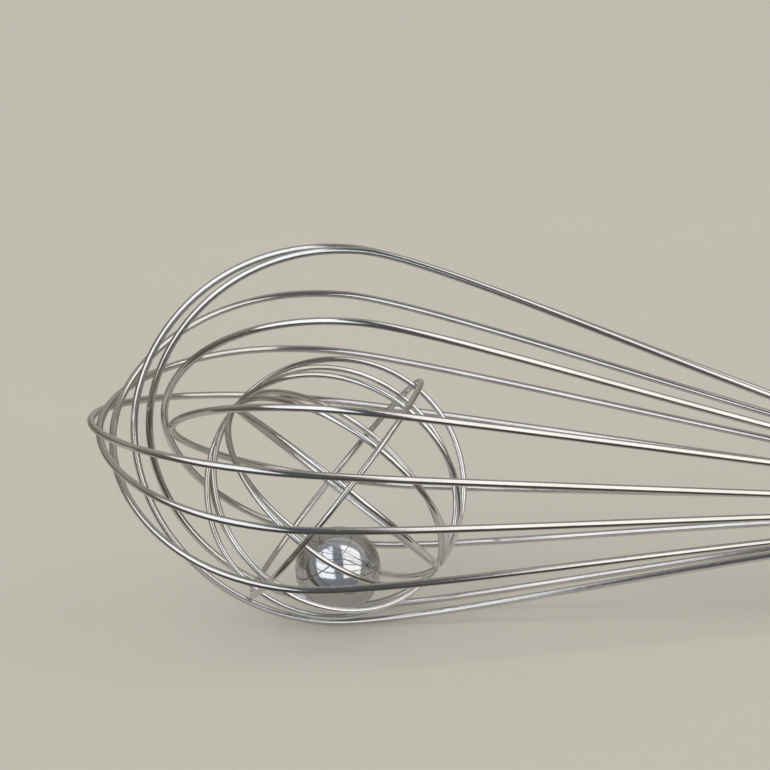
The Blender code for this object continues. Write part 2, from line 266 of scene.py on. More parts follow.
def floor_layer(name, front, level):
    """A matt layer of the floor, from a front edge to the rear: its object, its shader and a point on it."""
    bpy.ops.mesh.primitive_plane_add(size=1.0, location=(0.0, (front + FLOOR_REACH) / 2, level))
    layer = bpy.context.object
    layer.name = name
    layer.scale = (2 * FLOOR_REACH, FLOOR_REACH - front, 1.0)
    bpy.ops.object.transform_apply(location=True, rotation=True, scale=True)
    bpy.ops.object.mode_set(mode="EDIT")
    bpy.ops.mesh.subdivide(number_cuts=FLOOR_CUTS)
    bpy.ops.object.mode_set(mode="OBJECT")
    paint, tree, shader = new_finish(name + "_paint")
    shader.inputs["Roughness"].default_value = FLOOR_ROUGHNESS
    shader.inputs["Specular IOR Level"].default_value = 0.0
    layer.data.materials.append(paint)
    layer.visible_shadow = False
    layer.select_set(False)
    layer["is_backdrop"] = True
    return layer, shader, tree.place()


seen_floor, shader, point = floor_layer("pale_floor", -FLOOR_REACH, FLOOR_LEVEL)
feed(shader, base_color=point.grain(FLOOR_CLOUDS, 4.0).blend(FLOOR_DUSK, FLOOR_PALE))
seen_floor.visible_glossy = False

mirrored_floor, shader, point = floor_layer("mirrored_floor", MIRRORED_FRONT, MIRRORED_LEVEL)
# Painted shade: this layer is painted darker to the rear, though the seen floor is evenly pale.
feed(shader, base_color=point.part("Y").between(PALE_UNTIL, PAINTED_SHADE_FROM).blend(FLOOR_PALE, FLOOR_PAINTED_SHADE))
mirrored_floor.visible_camera = mirrored_floor.visible_diffuse = False
print("in mm, floor is mirrored from", in_mm([MIRRORED_FRONT]), "and dim from", in_mm([PAINTED_SHADE_FROM]))

# %% [markdown]
# Softboxes far off light the floor evenly. The metal mirrors a nearer pair, so that the dark gap between
# them moves along the wires. Each pair fills the same view from the whisk, because the sizes are shares of
# the distance. The far one on the right only fills in, so it casts no shadow.

# %% Softboxes
PANE_AIM = Vector((-0.106, 0.0, 0.02))
PANE_BEARING = 11.5
PANE_RISE = 33.0
PANE_LEFT = 0.27
PANE_RIGHT = 0.20
PANE_OUTER = 1.80
PANE_BOTTOM = -0.87
PANE_TOP = 1.23
NEAR_DISTANCE = 0.53
FAR_DISTANCE = 20.0
FLOOR_WARMTH = (1.0, 0.985, 0.955)
MIRRORED_GLOW = 1.38
MIRRORED_COOL = (0.965, 0.985, 1.01)
MIRRORED_WARM = (1.0, 0.965, 0.93)
KEY_GLOW = 1.55
FILL_GLOW = 2.45
PANEL_FILL = {"RECTANGLE": 1.0, "ELLIPSE": math.pi / 4}
bearing, rise = math.radians(PANE_BEARING), math.radians(PANE_RISE)
away = Vector((math.sin(bearing) * math.cos(rise), -math.cos(bearing) * math.cos(rise), math.sin(rise)))
sideways = Vector((math.cos(bearing), math.sin(bearing), 0.0))
upwards = sideways.cross(-away)


def lit_panel(name, shape, place, wide, tall, glow, colour):
    """A panel that faces the whisk and isn't seen itself. Its power follows from its glow and its area."""
    bpy.ops.object.light_add(type="AREA", location=place)
    panel = bpy.context.object
    panel.name = name
    panel.rotation_euler = away.to_track_quat("Z", "Y").to_euler()
    panel.data.shape = shape
    panel.data.size, panel.data.size_y = wide, tall
    panel.data.energy = glow * math.pi * PANEL_FILL[shape] * wide * tall
    panel.data.color = colour
    panel.visible_camera = False
    panel.select_set(False)
    return panel


def softbox(name, side, inner, distance, glow, colour):
    """A tall panel on one side of the gap. Its sizes are shares of how far away it is."""
    shift = side * (inner + PANE_OUTER) / 2 * sideways + (PANE_BOTTOM + PANE_TOP) / 2 * upwards
    wide, tall = distance * (PANE_OUTER - inner), distance * (PANE_TOP - PANE_BOTTOM)
    return lit_panel(name, "RECTANGLE", PANE_AIM + distance * (away + shift), wide, tall, glow, colour)


SOFTBOXES = (
    ("left", -1, PANE_LEFT, MIRRORED_COOL, KEY_GLOW),
    ("right", 1, PANE_RIGHT, MIRRORED_WARM, FILL_GLOW),
)
for name, side, inner, tint, floor_glow in SOFTBOXES:
    near_panel = softbox(name + "_mirrored_softbox", side, inner, NEAR_DISTANCE, MIRRORED_GLOW, tint)
    near_panel.visible_diffuse = False
    far_panel = softbox(name + "_softbox", side, inner, FAR_DISTANCE, floor_glow, FLOOR_WARMTH)
    far_panel.visible_glossy = False
    far_panel.data.use_shadow = side < 0
print("softbox gap from", -PANE_LEFT, "to", PANE_RIGHT, "of their distance, glow", MIRRORED_GLOW)

# %% [markdown]
# The room is only a colour for each direction. The metal mirrors one that is dim and cool before the whisk,
# pale behind it, brown at the sides and dark below. What is matt gets an even light from it, and the camera
# sees a plain pale wall. The pairs of numbers say where one wall fades into the next, as a share of the
# direction's length.

# %% Room around the studio
ROOM_EVEN = (0.36, 0.355, 0.342)
ROOM_SEEN = (0.55, 0.52, 0.45)
ROOM_BEHIND = (0.42, 0.392, 0.338)
ROOM_BEFORE = (0.098, 0.109, 0.136)
ROOM_BESIDE = (0.190, 0.168, 0.130)
ROOM_BELOW = (0.096, 0.085, 0.072)
FRONT_TO_REAR = (-0.55, 0.35)
MIDDLE_TO_SIDES = (0.12, 0.62)
SIDES_TO_TOP = (0.15, 0.60)
PIT_TO_WALLS = (-0.22, -0.08)

world = bpy.data.worlds.new("dim_room")
bpy.context.scene.world = world
world.use_nodes = True
room = Socket(world.node_tree)
direction = room.add("ShaderNodeTexCoord", {}, {}, "Generated")
height = direction.part("Z")
walls = direction.part("Y").between(*FRONT_TO_REAR).blend(ROOM_BEFORE, ROOM_BEHIND)
beside = abs(direction.part("X")).between(*MIDDLE_TO_SIDES) * (1 - height.between(*SIDES_TO_TOP))
walls = beside.blend(walls, ROOM_BESIDE)
walls = height.between(*PIT_TO_WALLS).blend(ROOM_BELOW, walls)
mirrored = room.add("ShaderNodeLightPath", {}, {}, "Is Glossy Ray")
seen = room.add("ShaderNodeLightPath", {}, {}, "Is Camera Ray")
room_colour = seen.blend(mirrored.blend(ROOM_EVEN, walls), ROOM_SEEN)
world.node_tree.links.new(room_colour.socket, world.node_tree.nodes["Background"].inputs["Color"])
bpy.context.scene.view_settings.view_transform = "Standard"
print("room: behind", ROOM_BEHIND, "before", ROOM_BEFORE)

# %% [markdown]
# ## Drawn and polished wire
#
# Wire is pulled through a die, which leaves hair lines along its length, and then tumbled until it shines.
# The lines have to follow each bend, so the finish can't use places in the room. Every wire gets an
# attribute, `straight`, that tells where a point would be if the wire were pulled straight again: two
# numbers across the wire and one along it, counted from its middle.

# %% Finish of the drawn wire
HAIR_LINES = (9000.0, 9000.0, 45.0)
WIRE_CLOUDS = (260.0, 260.0, 55.0)
WIRE_NICKS = (2600.0, 2600.0, 800.0)
NICKS_SHIFT = (0.3, 0.7, 0.1)
WIRE_RELIEF = 0.02 * MM
HEAT_FADE = 5.0 * MM


def wire_finish(name, light, dark, gloss, heat_tint=None, heat_from=0.0):
    """Polished wire. A heat tint colours its last millimetres, as welding does."""
    material, tree, shader = new_finish(name, metallic=1.0)
    straight = tree.add("ShaderNodeAttribute", {"attribute_name": "straight"}, {}, "Vector")
    lines = straight.grain(HAIR_LINES)
    cloud = straight.grain(WIRE_CLOUDS, 4.0)
    nicks = straight.grain(WIRE_NICKS, 2.0, NICKS_SHIFT).between(0.63, 0.70)
    colour = cloud.between(0.35, 0.68).blend(dark, light)
    if heat_tint:
        from_middle = abs(straight.part("Z"))
        colour = from_middle.between(heat_from, heat_from + HEAT_FADE).blend(colour, heat_tint)
    rough = gloss + 0.07 * lines + 0.05 * cloud + 0.12 * nicks
    relief = 0.7 * lines + 0.8 * nicks
    feed(shader, base_color=colour, roughness=rough, normal=relief.bump(0.05, WIRE_RELIEF))
    return material


BALLOON_FINISH = wire_finish(
    "polished_balloon_wire", light=(0.68, 0.677, 0.668), dark=(0.58, 0.577, 0.57), gloss=0.07
)
CAGE_FINISH = wire_finish(
    "polished_cage_wire", light=(0.81, 0.822, 0.842), dark=(0.73, 0.742, 0.76), gloss=0.06,
    heat_tint=(0.58, 0.56, 0.53), heat_from=36.5 * MM
)
HANG_FINISH = wire_finish(
    "polished_hanging_wire", light=(0.72, 0.715, 0.70), dark=(0.62, 0.615, 0.60), gloss=0.10
)
print("wire finishes", [finish.name for finish in (BALLOON_FINISH, CAGE_FINISH, HANG_FINISH)])

# %% [markdown]
# ## Bending a wire
#
# A wire is a round section swept along a bent line. It could be a cylinder bent by hand, but the bends would
# flatten it. A Bezier curve with a round bevel keeps its section true: add the curve, cut it into as many
# knots as the wire has bends, set the knots, and turn it into a mesh. The mesh comes out ring after ring,
# which makes it easy to write down where each point lies on the straight wire.

# %% Places on the straight wire
WIRE_SIDES = 24


def write_straight(piece, radius):
    """Stores for each point of a swept wire where it lies on the wire pulled straight, its middle at 0."""
    points = [point.co.copy() for point in piece.data.vertices]
    rings = [points[start:start + WIRE_SIDES] for start in range(0, len(points), WIRE_SIDES)]
    middles = [sum(ring, Vector()) / WIRE_SIDES for ring in rings]
    lengths = [0.0]
    for before, after in zip(middles, middles[1:]):
        lengths.append(lengths[-1] + (after - before).length)
    attribute = piece.data.attributes.new("straight", "FLOAT_VECTOR", "POINT")
    for index in range(len(points)):
        turn = 2 * math.pi * (index % WIRE_SIDES) / WIRE_SIDES
        along = lengths[index // WIRE_SIDES] - lengths[-1] / 2
        attribute.data[index].vector = (radius * math.cos(turn), radius * math.sin(turn), along)
    return lengths[-1]


print("wires have", WIRE_SIDES, "sides")

# %% Wire from Bezier knots
WIRE_SMOOTH = math.radians(50)
WIRE_MERGE = 0.001 * MM


def close_mesh(distance):
    """Merges the doubled points of the edited mesh, points its faces outwards and leaves edit mode."""
    bpy.ops.mesh.select_all(action="SELECT")
    bpy.ops.mesh.remove_doubles(threshold=distance)
    bpy.ops.mesh.normals_make_consistent(inside=False)
    bpy.ops.object.mode_set(mode="OBJECT")


def sweep_wire(diameter, steps, capped=True):
    """Gives the active curve a round section and makes it a mesh. Returns the wire's length."""
    piece = bpy.context.object
    piece.data.dimensions = "3D"
    piece.data.twist_mode = "MINIMUM"
    piece.data.bevel_depth = diameter / 2
    piece.data.bevel_resolution = WIRE_SIDES // 2 - 2
    piece.data.resolution_u = steps
    piece.data.use_fill_caps = capped
    bpy.ops.object.convert(target="MESH")
    length = write_straight(piece, diameter / 2)
    bpy.ops.object.mode_set(mode="EDIT")
    close_mesh(WIRE_MERGE)
    bpy.ops.object.shade_smooth_by_angle(angle=WIRE_SMOOTH)
    return length


def bend_wire(name, knots, diameter, steps):
    """A wire through knots, each given as place, handle before, handle after and thickness share."""
    bpy.ops.curve.primitive_bezier_curve_add(enter_editmode=True)
    bpy.ops.curve.select_all(action="SELECT")
    bpy.ops.curve.subdivide(number_cuts=len(knots) - 2)
    bpy.ops.object.mode_set(mode="OBJECT")
    wire = bpy.context.object
    wire.name = wire.data.name = name
    for point, (place, before, after, share) in zip(wire.data.splines[0].bezier_points, knots):
        point.handle_left_type = point.handle_right_type = "FREE"
        point.co, point.handle_left, point.handle_right = place, before, after
        point.radius = share
    wire["length"] = sweep_wire(diameter, steps)
    return wire


print("wires can be bent")


# %% Dressing a piece
def dress(piece, finish, body, slot, *nodes):
    """Gives a piece its finish, hangs it on the body it moves with, and hides the solids it stands for."""
    piece.data.materials.clear()
    piece.data.materials.append(finish)
    piece.select_set(False)
    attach(piece, body)
    if nodes:
        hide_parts(*nodes)


def box_gap(piece, node):
    """How far a piece's box is from its solid's, in millimetres."""
    low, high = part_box(node)
    mine = [[point.co[axis] for point in piece.data.vertices] for axis in range(3)]
    gaps = [abs(min(mine[axis]) - low[axis]) for axis in range(3)]
    gaps += [abs(max(mine[axis]) - high[axis]) for axis in range(3)]
    return round(max(gaps) / MM, 2)


print("pieces can be dressed and compared with their solids")

# %% [markdown]
# ## The seven balloon loops
#
# Each loop runs out of the handle, along one side of the balloon, round the tip and back on the other side.
# The loops are nested: the longest reaches furthest, and each next one stands back a little and is turned on
# round the axis. A loop needs nine knots: two in the handle, one at the throat and one at the belly for each
# leg, and one at the tip. The loops are bent by hand: the legs of one are spread a little, and the shortest
# has its legs drawn together and its tip sagging to one side.

# %% Shape of a balloon loop
BALLOON_WIRE = 1.5 * MM
BALLOON_RADIUS = 38.6 * MM
TIP_TO_BELLY = 42.4 * MM
TIP_TO_THROAT = 168.4 * MM
THROAT_RADIUS = 8.3 * MM
THROAT_ANGLE = math.radians(13.0)
NOSE_FULLNESS = 0.475
NOSE_SHOULDER = 0.622
TAPER_SHOULDER = 0.132
TAPER_REACH = 0.413
BELLY_SETBACK = 0.89
LEG_RADIUS = 7.6 * MM
LEG_BEND = 6.0 * MM
LEG_LENGTH = 22.0 * MM
TUBE_FRONT = TIP_TO_THROAT + LEG_BEND


def leg_knots(setback, mouth_angle, belly_angle):
    """Knots of one leg, from its clamped end in the handle to its belly."""
    belly = TIP_TO_BELLY + BELLY_SETBACK * setback
    taper = TIP_TO_THROAT - belly
    reach = TAPER_REACH * taper
    clamped = around(TUBE_FRONT + LEG_LENGTH, LEG_RADIUS, mouth_angle)
    straight = around(TUBE_FRONT, LEG_RADIUS, mouth_angle)
    throat = around(TIP_TO_THROAT, THROAT_RADIUS, mouth_angle)
    lean = (mouth_angle + belly_angle) / 2
    pull_station = TIP_TO_THROAT - reach * math.cos(THROAT_ANGLE)
    pull = around(pull_station, THROAT_RADIUS + reach * math.sin(THROAT_ANGLE), lean)
    back = (throat - pull).normalized() * LEG_BEND / 3
    along = Vector((LEG_BEND / 3, 0, 0))
    bulge = around(belly, BALLOON_RADIUS, belly_angle)
    rear = around(belly + TAPER_SHOULDER * taper, BALLOON_RADIUS, belly_angle)
    fore = around(belly - NOSE_SHOULDER * (belly - setback), BALLOON_RADIUS, belly_angle)
    return [
        (clamped, clamped + along, clamped - along),
        (straight, straight + along, straight - along),
        (throat, throat + back, pull),
        (bulge, rear, fore),
    ]


def loop_knots(share, mouth, plane, spread, sag):
    """Knots of a whole loop: down one leg, round the tip and back along the other."""
    setback = share * BALLOON_RADIUS
    first = leg_knots(setback, mouth, plane - spread)
    second = leg_knots(setback, mouth + 180, plane + 180 + spread)
    middle = around(setback, sag * BALLOON_RADIUS, plane + 90)
    pull = around(0, NOSE_FULLNESS * BALLOON_RADIUS, plane)
    tip = (middle, middle + pull, middle - pull)
    knots = first + [tip] + [(place, after, before) for place, before, after in reversed(second)]
    return [(REST @ place, REST @ before, REST @ after, 1.0) for place, before, after in knots]


print("balloon", in_mm([2 * BALLOON_RADIUS]), "mm across, tip to handle", in_mm([TUBE_FRONT]), "mm")

# %% Bend the seven loops
# Each loop has its setback and its tip's sag as shares of the balloon's radius, and three angles: of its
# legs in the handle, of its plane at the belly, and by how much its legs are spread there.
LOOPS = (
    {"share": 0.0, "mouth": -11.6, "plane": -11.6, "spread": 0.0, "sag": 0.0},
    {"share": 0.0466, "mouth": -29.5, "plane": -28.5, "spread": 0.0, "sag": 0.0},
    {"share": 0.1140, "mouth": -53.5, "plane": -51.3, "spread": 0.0, "sag": 0.0},
    {"share": 0.2150, "mouth": -94.0, "plane": -101.2, "spread": 0.0, "sag": 0.0},
    {"share": 0.2953, "mouth": -112.5, "plane": -110.5, "spread": 5.5, "sag": 0.0},
    {"share": 0.3782, "mouth": -144.0, "plane": -145.0, "spread": 0.0, "sag": 0.0},
    {"share": 0.4290, "mouth": -168.5, "plane": -169.4, "spread": -3.0, "sag": 0.056},
)
LOOP_STEPS = 26
for number, loop in enumerate(LOOPS, 1):
    node = "balloon_wire_%d" % number
    wire = bend_wire("balloon_loop_%d" % number, loop_knots(**loop), BALLOON_WIRE, LOOP_STEPS)
    dress(wire, BALLOON_FINISH, "whisk", "balloon_wire", node)
    print(wire.name, "length in mm", in_mm([wire["length"]]), "box gap", box_gap(wire, node))

# %% [markdown]
# ## The cage
#
# Twelve half ribs run from pole to pole and are fused there, and a ring round their middle is spot welded to
# each of them. One rib is bent upright, with its poles on z, and copied with its own mesh. Each copy is then
# turned on round the poles, and laid where the cage's hinge says that the cage is. On the solids the rib
# ends stop short of the welds; here they run on into them, as fused wire does.

# %% Where the cage lies
CAGE_WIRE = 1.2 * MM
CAGE_RADIUS = 26.2 * MM
FIRST_RIB = Vector((0.1787, -0.9838, 0.0141))
spin = next(joint for joint in frame["joints"] if joint["name"] == "cage_spin")
CAGE_MIDDLE = Vector(spin["pos_m"])
POLE = Vector(spin["axis"]).normalized()
outward = REST.to_3x3() @ FIRST_RIB
outward = (outward - POLE * outward.dot(POLE)).normalized()
cage_turn = Matrix((outward, POLE.cross(outward), POLE)).transposed().to_4x4()
CAGE_PLACE = Matrix.Translation(CAGE_MIDDLE) @ cage_turn
print("cage middle in mm", in_mm(CAGE_MIDDLE), "pole", [round(v, 3) for v in POLE])

# %% Copies round the poles
RIB_ANGLES = (0.0, 31.5, 62.5, 90.5, 119.0, 154.5, 182.5, 213.5, 245.5, 269.5, 309.5, 337.5)
RIB_COUNT = len(RIB_ANGLES)


def pick(piece):
    """Selects one piece alone and makes it the active one."""
    bpy.ops.object.select_all(action="DESELECT")
    piece.select_set(True)
    bpy.context.view_layer.objects.active = piece


def copy_piece(piece, name):
    """A copy of a piece with a mesh of its own."""
    pick(piece)
    bpy.ops.object.duplicate(linked=False)
    twin = bpy.context.object
    twin.name = twin.data.name = name
    return twin


def settle(piece, place):
    """Lays a piece somewhere and puts that place into its mesh."""
    pick(piece)
    piece.matrix_world = place
    bpy.ops.object.transform_apply(location=True, rotation=True, scale=True)


def lay_round_poles(pattern, name):
    """A piece for each rib, the pattern among them, turned on round the poles and laid on the cage."""
    pieces = [pattern] + [copy_piece(pattern, "copy") for angle in RIB_ANGLES[1:]]
    for number, (piece, angle) in enumerate(zip(pieces, RIB_ANGLES), 1):
        piece.name = piece.data.name = "%s_%d" % (name, number)
        settle(piece, CAGE_PLACE @ Matrix.Rotation(math.radians(angle), 4, "Z"))
    return pieces


print("ribs at", RIB_ANGLES)

# %% Bend one rib and copy it
RIB_STEPS = 14
RIB_END_RADIUS = 0.75 * MM
RIB_END_SHARE = 0.72
NECK_STOP, NECK_SHARE = 7.0, 0.96
SHOULDER_STOP = 35.0


def arc_handle(span):
    """Length of a knot's handle on an arc of radius 1 that spans an angle."""
    return 4 / 3 * math.tan(math.radians(span) / 4)


def arc_knot(stop, span_before, span_after, share):
    """A knot on the rib's half circle, at an angle from the upper pole."""
    turn = math.radians(stop)
    place = CAGE_RADIUS * Vector((math.sin(turn), 0, math.cos(turn)))
    ahead = CAGE_RADIUS * Vector((math.cos(turn), 0, -math.sin(turn)))
    return place, place - ahead * arc_handle(span_before), place + ahead * arc_handle(span_after), share


rib_end = math.degrees(math.asin(RIB_END_RADIUS / CAGE_RADIUS))
upper = [(rib_end, RIB_END_SHARE), (NECK_STOP, NECK_SHARE), (SHOULDER_STOP, 1.0)]
lower = [(180.0 - stop, share) for stop, share in reversed(upper)]
stops, shares = zip(*upper, (90.0, 1.0), *lower)
spans = [after - before for before, after in zip(stops, stops[1:])]
rib_knots = [
    arc_knot(*values) for values in zip(stops, spans[:1] + spans, spans + spans[-1:], shares)
]
ribs = lay_round_poles(bend_wire("cage_rib_pattern", rib_knots, CAGE_WIRE, RIB_STEPS), "half_rib")
for number, rib in enumerate(ribs, 1):
    dress(rib, CAGE_FINISH, "cage", "cage_wire", "cage_rib_%d" % number)
print("ribs", len(ribs), "box gap of the first", box_gap(ribs[0], "cage_rib_1"))

# %% Ring round the middle of the cage
WELD_GAP = 0.15 * MM
RING_RADIUS = CAGE_RADIUS + CAGE_WIRE + WELD_GAP
RING_CUTS = 2
RING_STEPS = 10
bpy.ops.object.select_all(action="DESELECT")
bpy.ops.curve.primitive_bezier_circle_add(radius=RING_RADIUS, enter_editmode=True)
bpy.ops.curve.select_all(action="SELECT")
bpy.ops.curve.subdivide(number_cuts=RING_CUTS)
bpy.ops.object.mode_set(mode="OBJECT")
ring = bpy.context.object
ring.name = ring.data.name = "middle_ring"
sweep_wire(CAGE_WIRE, RING_STEPS, capped=False)
settle(ring, CAGE_PLACE)
dress(ring, BALLOON_FINISH, "cage", "cage_wire", "cage_equator_ring")
print("ring box gap", box_gap(ring, "cage_equator_ring"))

# %% [markdown]
# ## Welds
#
# At each pole the twelve rib ends are fused to one small button, so its rim has a ridge for each rib. It
# starts as a circle with two points for each rib. The circle grows up and down, ring by ring, and is closed
# in the middle, then the ridges are pushed out, and subdivision melts it together. Where a rib crosses the
# ring, a spot of metal fills the gap between them.

# %% Finish of the welds
WELD_PITS = 2600.0
WELD_HEAT = 420.0
weld_finish, tree, shader = new_finish("satin_weld", metallic=1.0)
pits = tree.place().grain(WELD_PITS, 5.0)
heat = tree.place().grain(WELD_HEAT, 2.0)
weld_colour = heat.between(0.38, 0.64).blend((0.54, 0.52, 0.49), (0.70, 0.695, 0.68))
feed(shader, base_color=weld_colour, roughness=0.10 + 0.18 * pits, normal=pits.bump(0.35, 0.06 * MM))
print("finish", weld_finish.name)


# %% Tools for edit mode
def select_points(piece, wanted):
    """Selects, in edit mode, the points for which wanted is true."""
    bpy.ops.mesh.select_all(action="DESELECT")
    bpy.ops.object.mode_set(mode="OBJECT")
    for point in piece.data.vertices:
        point.select = wanted(point.co)
    bpy.ops.object.mode_set(mode="EDIT")


def resize_points(*factors):
    """Scales the selected points from the origin."""
    bpy.ops.transform.resize(value=factors, center_override=(0, 0, 0))


def grow_ring(rise, share):
    """Extrudes the selected rim and draws it in, as by E and S."""
    bpy.ops.mesh.extrude_region_move(TRANSFORM_OT_translate={"value": (0, 0, rise)})
    resize_points(share, share, 1)


print("rims can grow")

# %% Button at a pole
# Each ring of the button has its rise as a share of the button's, and its width as a share of the last one.
BUTTON_RADIUS = 1.75 * MM
BUTTON_RISE = 0.62 * MM
BUTTON_TOP = ((0.55, 0.93), (0.30, 0.72), (0.15, 0.45))
BUTTON_UNDER = ((-0.75, 0.90), (-0.35, 0.70))
RIM_HEIGHT = 0.01 * MM
RIDGE_ANGLE = 1.0
RIDGE_FROM = 0.6 * BUTTON_RADIUS
RIDGE_SIZE = (1.16, 1.16, 1.06)
MELT_LEVELS = 2


def grow_button(rings):
    """Grows the selected rim by rings and closes its middle."""
    for rise, share in rings:
        grow_ring(rise * BUTTON_RISE, share)
    bpy.ops.mesh.edge_face_add()
    bpy.ops.mesh.poke()


def on_ridge(co):
    """Whether a point lies on the outer part of a rib's ridge."""
    step = math.degrees(math.atan2(co.y, co.x)) % (360 / RIB_COUNT)
    return min(step, 360 / RIB_COUNT - step) < RIDGE_ANGLE and co.xy.length > RIDGE_FROM


bpy.ops.object.select_all(action="DESELECT")
bpy.ops.mesh.primitive_circle_add(vertices=2 * RIB_COUNT, radius=BUTTON_RADIUS, enter_editmode=True)
button = bpy.context.object
button.name = button.data.name = "pole_button_1"
bpy.ops.mesh.select_all(action="SELECT")
grow_button(BUTTON_TOP)
select_points(button, lambda co: abs(co.z) < RIM_HEIGHT)
grow_button(BUTTON_UNDER)
select_points(button, on_ridge)
resize_points(*RIDGE_SIZE)
bpy.ops.mesh.select_all(action="SELECT")
bpy.ops.mesh.normals_make_consistent(inside=False)
bpy.ops.object.mode_set(mode="OBJECT")
melt = button.modifiers.new("melt", "SUBSURF")
melt.levels = melt.render_levels = MELT_LEVELS
bpy.ops.object.modifier_apply(modifier="melt")
bpy.ops.object.shade_smooth()
print("button points", len(button.data.vertices))

# %% Lay a button on each pole
other_button = copy_piece(button, "pole_button_2")
upper_pole = Matrix.Translation((0, 0, CAGE_RADIUS))
settle(button, CAGE_PLACE @ Matrix.Rotation(math.pi, 4, "X") @ upper_pole)
settle(other_button, CAGE_PLACE @ upper_pole)
dress(button, weld_finish, "cage", "weld", "cage_pole_weld_1")
dress(other_button, weld_finish, "cage", "weld", "cage_pole_weld_2")
print("button box gaps", box_gap(button, "cage_pole_weld_1"), box_gap(other_button, "cage_pole_weld_2"))

# %% Spot welds at the ring
SPOT_LONG = 1.05 * MM
SPOT_WIDE = 0.95 * MM
SPOT_DEEP = 0.55 * MM
SPOT_MIDDLE = 0.2 * SPOT_DEEP
SPOT_WAIST = 0.86
SPOT_LIFT = 0.07 * MM
SPOT_DETAIL = 3
bpy.ops.object.select_all(action="DESELECT")
bpy.ops.mesh.primitive_ico_sphere_add(subdivisions=SPOT_DETAIL, radius=1.0, enter_editmode=True)
spot_weld = bpy.context.object
bpy.ops.mesh.select_all(action="SELECT")
resize_points(SPOT_DEEP, SPOT_WIDE / 2, SPOT_LONG / 2)
select_points(spot_weld, lambda co: abs(co.x) < SPOT_MIDDLE)
resize_points(1.0, SPOT_WAIST, SPOT_WAIST)
bpy.ops.mesh.select_all(action="SELECT")
bpy.ops.transform.translate(value=(CAGE_RADIUS + CAGE_WIRE / 2 + SPOT_LIFT, 0, 0))
bpy.ops.object.mode_set(mode="OBJECT")
bpy.ops.object.shade_smooth()
spots = lay_round_poles(spot_weld, "spot_weld")
for spot in spots:
    dress(spot, weld_finish, "cage", "weld")
print("spot welds", len(spots))

# %% [markdown]
# ## The ball
#
# The ball is ground and polished steel. A UV sphere has a pinch at each pole that shows in a mirror, so this
# one starts as a cube, which is subdivided and cast to a sphere: even squares all over. Its finish is a
# mirror with fine hair scratches from rolling in the cage, laid in three directions, and a faint haze.

# %% Shape of the ball
low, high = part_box("ball")
BALL_MIDDLE = (low + high) / 2
BALL_RADIUS = 8.75 * MM
BALL_CUTS = 31
bpy.ops.object.select_all(action="DESELECT")
bpy.ops.mesh.primitive_cube_add(size=2 * BALL_RADIUS, location=BALL_MIDDLE)
ball = bpy.context.object
ball.name = ball.data.name = "steel_ball"
bpy.ops.object.mode_set(mode="EDIT")
bpy.ops.mesh.select_all(action="SELECT")
bpy.ops.mesh.subdivide(number_cuts=BALL_CUTS)
bpy.ops.object.mode_set(mode="OBJECT")
cast = ball.modifiers.new("cast", "CAST")
cast.factor = 1.0
cast.use_radius_as_size = False
cast.size = BALL_RADIUS
bpy.ops.object.modifier_apply(modifier="cast")
bpy.ops.object.shade_smooth()
bpy.ops.object.transform_apply(location=True, rotation=True, scale=True)
print("ball middle in mm", in_mm(BALL_MIDDLE), "box gap", box_gap(ball, "ball"))

# %% Finish of the ball
BALL_HAIR = (11000.0, 260.0, 260.0)
HAIR_BREAKS = 500.0
BALL_HAZE = 190.0
BALL_WAVES = 320.0
SCRATCHES = (
    {"Rotation": (0.3, 0.2, 0.4), "Location": (0.0, 0.0, 0.0)},
    {"Rotation": (1.2, 0.7, 1.9), "Location": (0.01, 0.02, 0.0)},
    {"Rotation": (2.2, 1.5, 0.8), "Location": (0.02, 0.0, 0.03)},
)
ball_finish, tree, shader = new_finish("mirror_polished_ball", metallic=1.0)
from_middle = tree.add("ShaderNodeMapping", {}, {"Vector": tree.place(), "Location": tuple(-BALL_MIDDLE)})


def hair_scratches(lie):
    """Thin lines in one direction, broken into short lengths."""
    turned = tree.add("ShaderNodeMapping", {}, {"Vector": from_middle, **lie})
    lines = turned.grain(BALL_HAIR, 2.0).between(0.60, 0.68)
    return lines * turned.grain(HAIR_BREAKS, 2.0).between(0.42, 0.60)


first, second, third = [hair_scratches(lie) for lie in SCRATCHES]
scratches = first + second + third
haze = from_middle.grain(BALL_HAZE, 4.0)
waves = from_middle.grain(BALL_WAVES, 1.0)
ball_colour = haze.between(0.35, 0.7).blend((0.50, 0.505, 0.515), (0.55, 0.555, 0.565))
ball_rough = 0.06 + 0.05 * haze + 0.10 * scratches
relief = 0.25 * scratches + waves
feed(shader, base_color=ball_colour, roughness=ball_rough, normal=relief.bump(0.25, 0.03 * MM))
dress(ball, ball_finish, "ball", "ball", "ball")
print("ball dressed in", ball_finish.name)

# %% [markdown]
# A mirror ball shows the whole room at once, also the pale walls beside the softboxes, which the wires
# hardly show. One large dim panel in front gives it that cool sheen. Light linking keeps the panel to the
# ball.

# %% Sheen on the ball
SHEEN_GLOW = 0.25
SHEEN_COLOUR = (0.80, 0.90, 1.06)
SHEEN_WIDE, SHEEN_TALL = 4.2, 2.8
SHEEN_DISTANCE = 0.25
sheen_place = PANE_AIM + SHEEN_DISTANCE * away
sheen = lit_panel("ball_sheen", "ELLIPSE", sheen_place, SHEEN_WIDE, SHEEN_TALL, SHEEN_GLOW, SHEEN_COLOUR)
sheen.data.use_shadow = False
sheen.visible_diffuse = False
lit_by_sheen = bpy.data.collections.new("lit_by_sheen")
lit_by_sheen.objects.link(ball)
sheen.light_linking.receiver_collection = lit_by_sheen

# %% [markdown]
# ## The handle
#
# The handle is a stainless tube: straight over the clamped legs, then a long swell for the palm, closed by a
# turned plug. It could be spun from a profile. Here it grows upwards, ring by ring, as by pressing E and S
# in edit mode, and is then laid along the whisk's axis. The brushing runs round the tube, as from a belt on
# a lathe.

# %% Turned pieces
TURNED_SIDES = 96
TURNED_SMOOTH = math.radians(40)
TURNED_MERGE = 0.002 * MM
Z_TO_X = Matrix.Rotation(math.pi / 2, 4, "Y")


